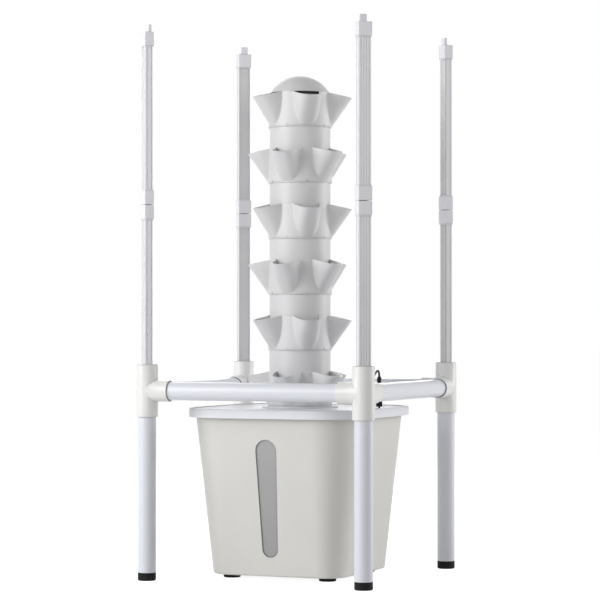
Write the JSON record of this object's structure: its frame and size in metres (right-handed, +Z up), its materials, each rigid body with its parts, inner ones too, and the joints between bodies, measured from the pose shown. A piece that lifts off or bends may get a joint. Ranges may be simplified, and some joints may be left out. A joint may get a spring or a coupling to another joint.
{
  "type": "hydroponic growing tower",
  "caption": "Stacked column of planting pockets on a pump reservoir with a level window, inside a pipe frame that carries upright light bars.",
  "frame": {"origin": "on the floor under the middle of the frame, on the tower's axis", "axes": "+Z up along the tower's axis, -Y toward the reservoir's window, +X to the right seen from the front"},
  "size_m": [0.4488, 0.4488, 0.9775],
  "materials": {
    "pipe_white": "satin extruded pipe",
    "fitting_white": "moulded gloss",
    "light_housing": "white anodised",
    "milky_diffuser": "milky",
    "light_board": "coated board",
    "cap_white": "moulded satin",
    "tank_cream": "fine moulded grain",
    "window_grey": "translucent",
    "lid_white": "moulded satin",
    "tower_grey": "moulded satin",
    "black_plastic": "moulded",
    "black_rubber": "matt rubber",
    "rotor_grey": "bonded magnet",
    "riser_clear": "milky tube"
  },
  "bodies": {
    "base": {"leg_front_left": "pipe_white", "leg_front_right": "pipe_white", "leg_back_right": "pipe_white", "leg_back_left": "pipe_white", "leg_feet": "black_rubber", "fitting_front_left": "fitting_white", "fitting_front_right": "fitting_white", "fitting_back_right": "fitting_white", "fitting_back_left": "fitting_white", "rail_front": "pipe_white", "rail_right": "pipe_white", "rail_back": "pipe_white", "rail_left": "pipe_white", "tank": "tank_cream", "tank_feet": "black_rubber", "level_window": "window_grey", "pump_body": "black_plastic", "pump_cover": "black_plastic", "pump_cups": "black_rubber", "riser_tube": "riser_clear", "pump_lead": "black_rubber", "lead_socket": "black_plastic", "lead_plug": "black_plastic", "lamp_lead": "black_rubber", "lead_gland": "black_rubber"},
    "lid": {"lid": "lid_white"},
    "tier_6": {"planter_6": "tower_grey"},
    "tier_5": {"planter_5": "tower_grey"},
    "tier_4": {"planter_4": "tower_grey"},
    "tier_3": {"planter_3": "tower_grey"},
    "tier_2": {"planter_2": "tower_grey"},
    "tier_1": {"planter_1": "tower_grey", "water_dish": "black_plastic"},
    "dome": {"dome_cap": "tower_grey"},
    "pole_front_left": {"pole_socket_front_left": "fitting_white", "housings_front_left": "light_housing", "diffusers_front_left": "milky_diffuser", "light_boards_front_left": "light_board", "end_caps_front_left": "cap_white", "connectors_front_left": "cap_white"},
    "pole_front_right": {"pole_socket_front_right": "fitting_white", "housings_front_right": "light_housing", "diffusers_front_right": "milky_diffuser", "light_boards_front_right": "light_board", "end_caps_front_right": "cap_white", "connectors_front_right": "cap_white"},
    "pole_back_right": {"pole_socket_back_right": "fitting_white", "housings_back_right": "light_housing", "diffusers_back_right": "milky_diffuser", "light_boards_back_right": "light_board", "end_caps_back_right": "cap_white", "connectors_back_right": "cap_white"},
    "pole_back_left": {"pole_socket_back_left": "fitting_white", "housings_back_left": "light_housing", "diffusers_back_left": "milky_diffuser", "light_boards_back_left": "light_board", "end_caps_back_left": "cap_white", "connectors_back_left": "cap_white"},
    "rotor": {"pump_rotor": "rotor_grey"}
  },
  "joints": [
    {"name": "lid_lift", "type": "slide", "parent": "base", "child": "lid", "axis": [0, 0, 1], "range_m": [0, 0.03]},
    {"name": "tier_6_turn", "type": "hinge", "parent": "lid", "child": "tier_6", "pos_m": [0, 0, 0.303], "axis": [0, 0, 1], "continuous": true},
    {"name": "tier_5_turn", "type": "hinge", "parent": "tier_6", "child": "tier_5", "pos_m": [0, 0, 0.403], "axis": [0, 0, 1], "continuous": true},
    {"name": "tier_4_turn", "type": "hinge", "parent": "tier_5", "child": "tier_4", "pos_m": [0, 0, 0.503], "axis": [0, 0, 1], "continuous": true},
    {"name": "tier_3_turn", "type": "hinge", "parent": "tier_4", "child": "tier_3", "pos_m": [0, 0, 0.603], "axis": [0, 0, 1], "continuous": true},
    {"name": "tier_2_turn", "type": "hinge", "parent": "tier_3", "child": "tier_2", "pos_m": [0, 0, 0.703], "axis": [0, 0, 1], "continuous": true},
    {"name": "tier_1_turn", "type": "hinge", "parent": "tier_2", "child": "tier_1", "pos_m": [0, 0, 0.803], "axis": [0, 0, 1], "continuous": true},
    {"name": "dome_lift", "type": "slide", "parent": "tier_1", "child": "dome", "axis": [0, 0, 1], "range_m": [0, 0.04]},
    {"name": "pole_front_left_turn", "type": "hinge", "parent": "base", "child": "pole_front_left", "pos_m": [-0.205, -0.205, 0.3785], "axis": [0, 0, 1], "range_deg": [-90, 90]},
    {"name": "pole_front_right_turn", "type": "hinge", "parent": "base", "child": "pole_front_right", "pos_m": [0.205, -0.205, 0.3785], "axis": [0, 0, 1], "range_deg": [-90, 90]},
    {"name": "pole_back_right_turn", "type": "hinge", "parent": "base", "child": "pole_back_right", "pos_m": [0.205, 0.205, 0.3785], "axis": [0, 0, 1], "range_deg": [-90, 90]},
    {"name": "pole_back_left_turn", "type": "hinge", "parent": "base", "child": "pole_back_left", "pos_m": [-0.205, 0.205, 0.3785], "axis": [0, 0, 1], "range_deg": [-90, 90]},
    {"name": "rotor_spin", "type": "hinge", "parent": "base", "child": "rotor", "pos_m": [0, 0, 0.035], "axis": [0, 1, 0], "continuous": true}
  ]
}
